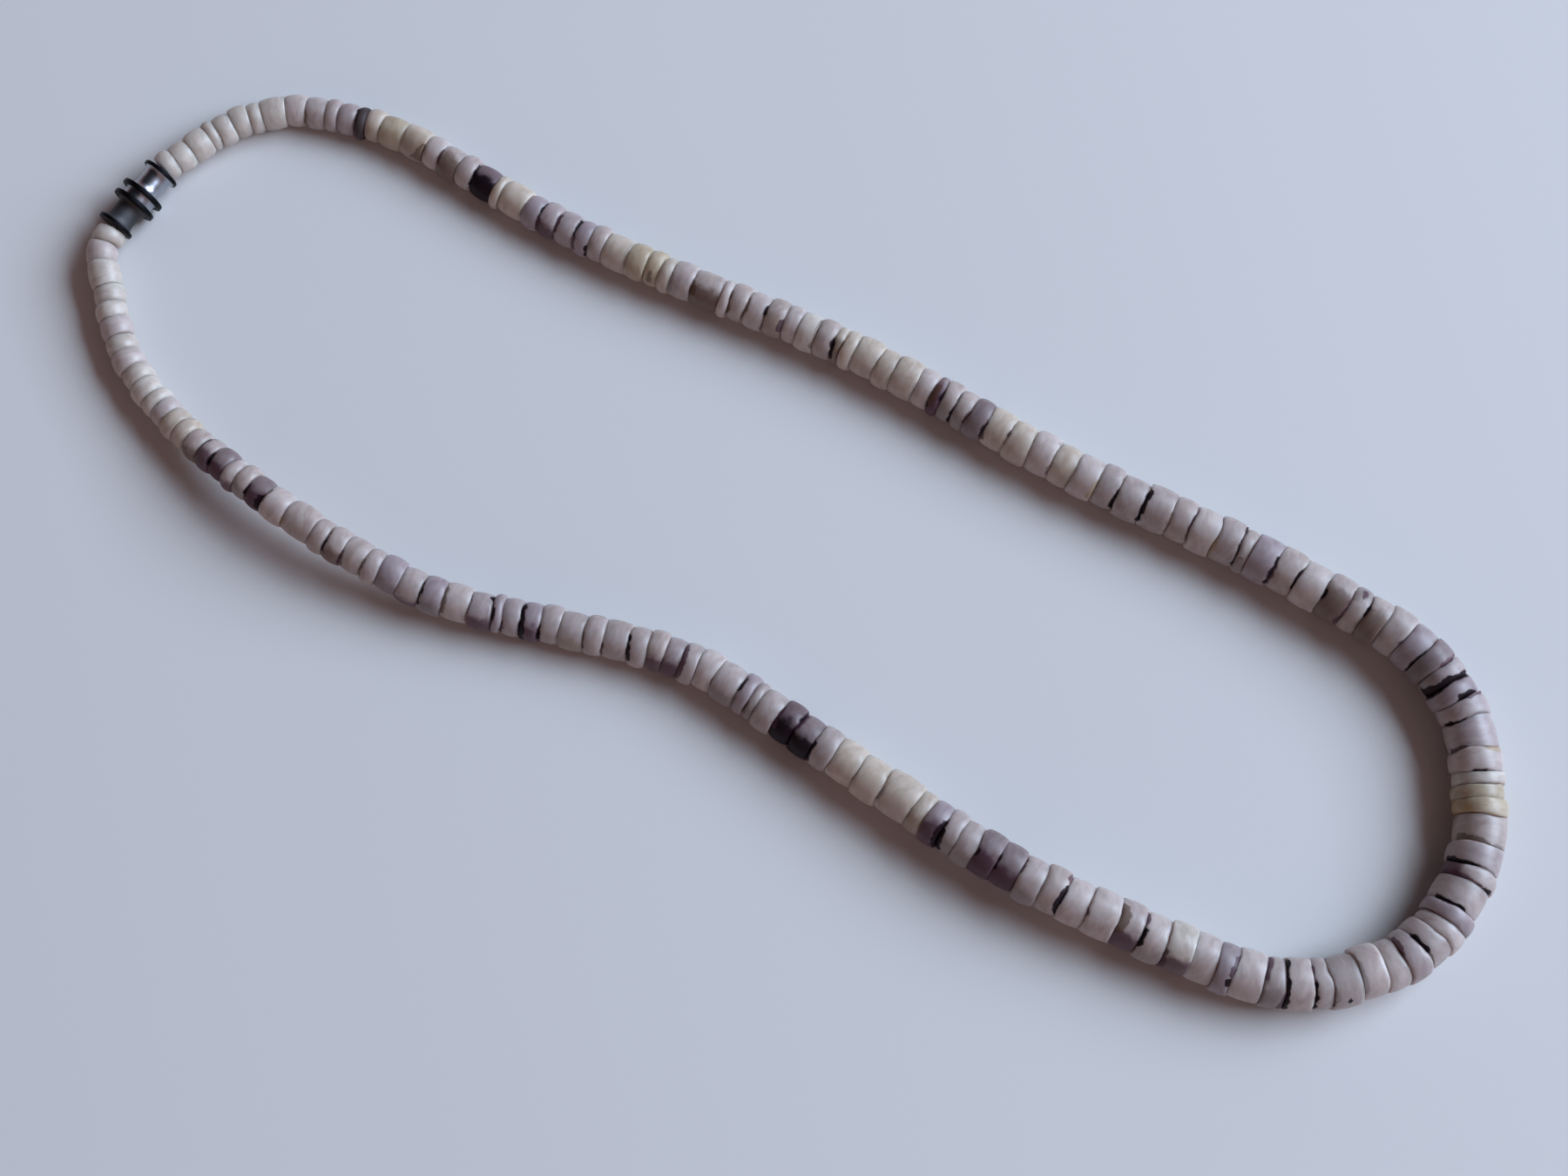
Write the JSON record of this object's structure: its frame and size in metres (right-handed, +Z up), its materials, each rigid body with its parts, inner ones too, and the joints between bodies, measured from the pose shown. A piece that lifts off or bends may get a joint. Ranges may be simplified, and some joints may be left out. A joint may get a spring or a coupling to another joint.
{
  "type": "shell disc bead necklace",
  "caption": "Closed loop of drilled shell discs strung face to face on a thread, growing from a metal barrel clasp to the front, lying on a flat surface.",
  "frame": {"origin": "on the surface the necklace lies on, under the middle of its outline", "axes": "+Y along the loop's length towards the clasp, +X across the loop to the side the clasp's screw half points to, +Z up off the surface"},
  "size_m": [0.0592, 0.1996, 0.0071],
  "materials": {
    "shell": "satin",
    "beading_thread": "satin",
    "clasp_metal": "polished"
  },
  "bodies": {
    "root": {"shell_discs": "shell", "thread": "beading_thread", "clasp_screw_half": "clasp_metal", "clasp_socket_half": "clasp_metal"}
  },
  "joints": []
}
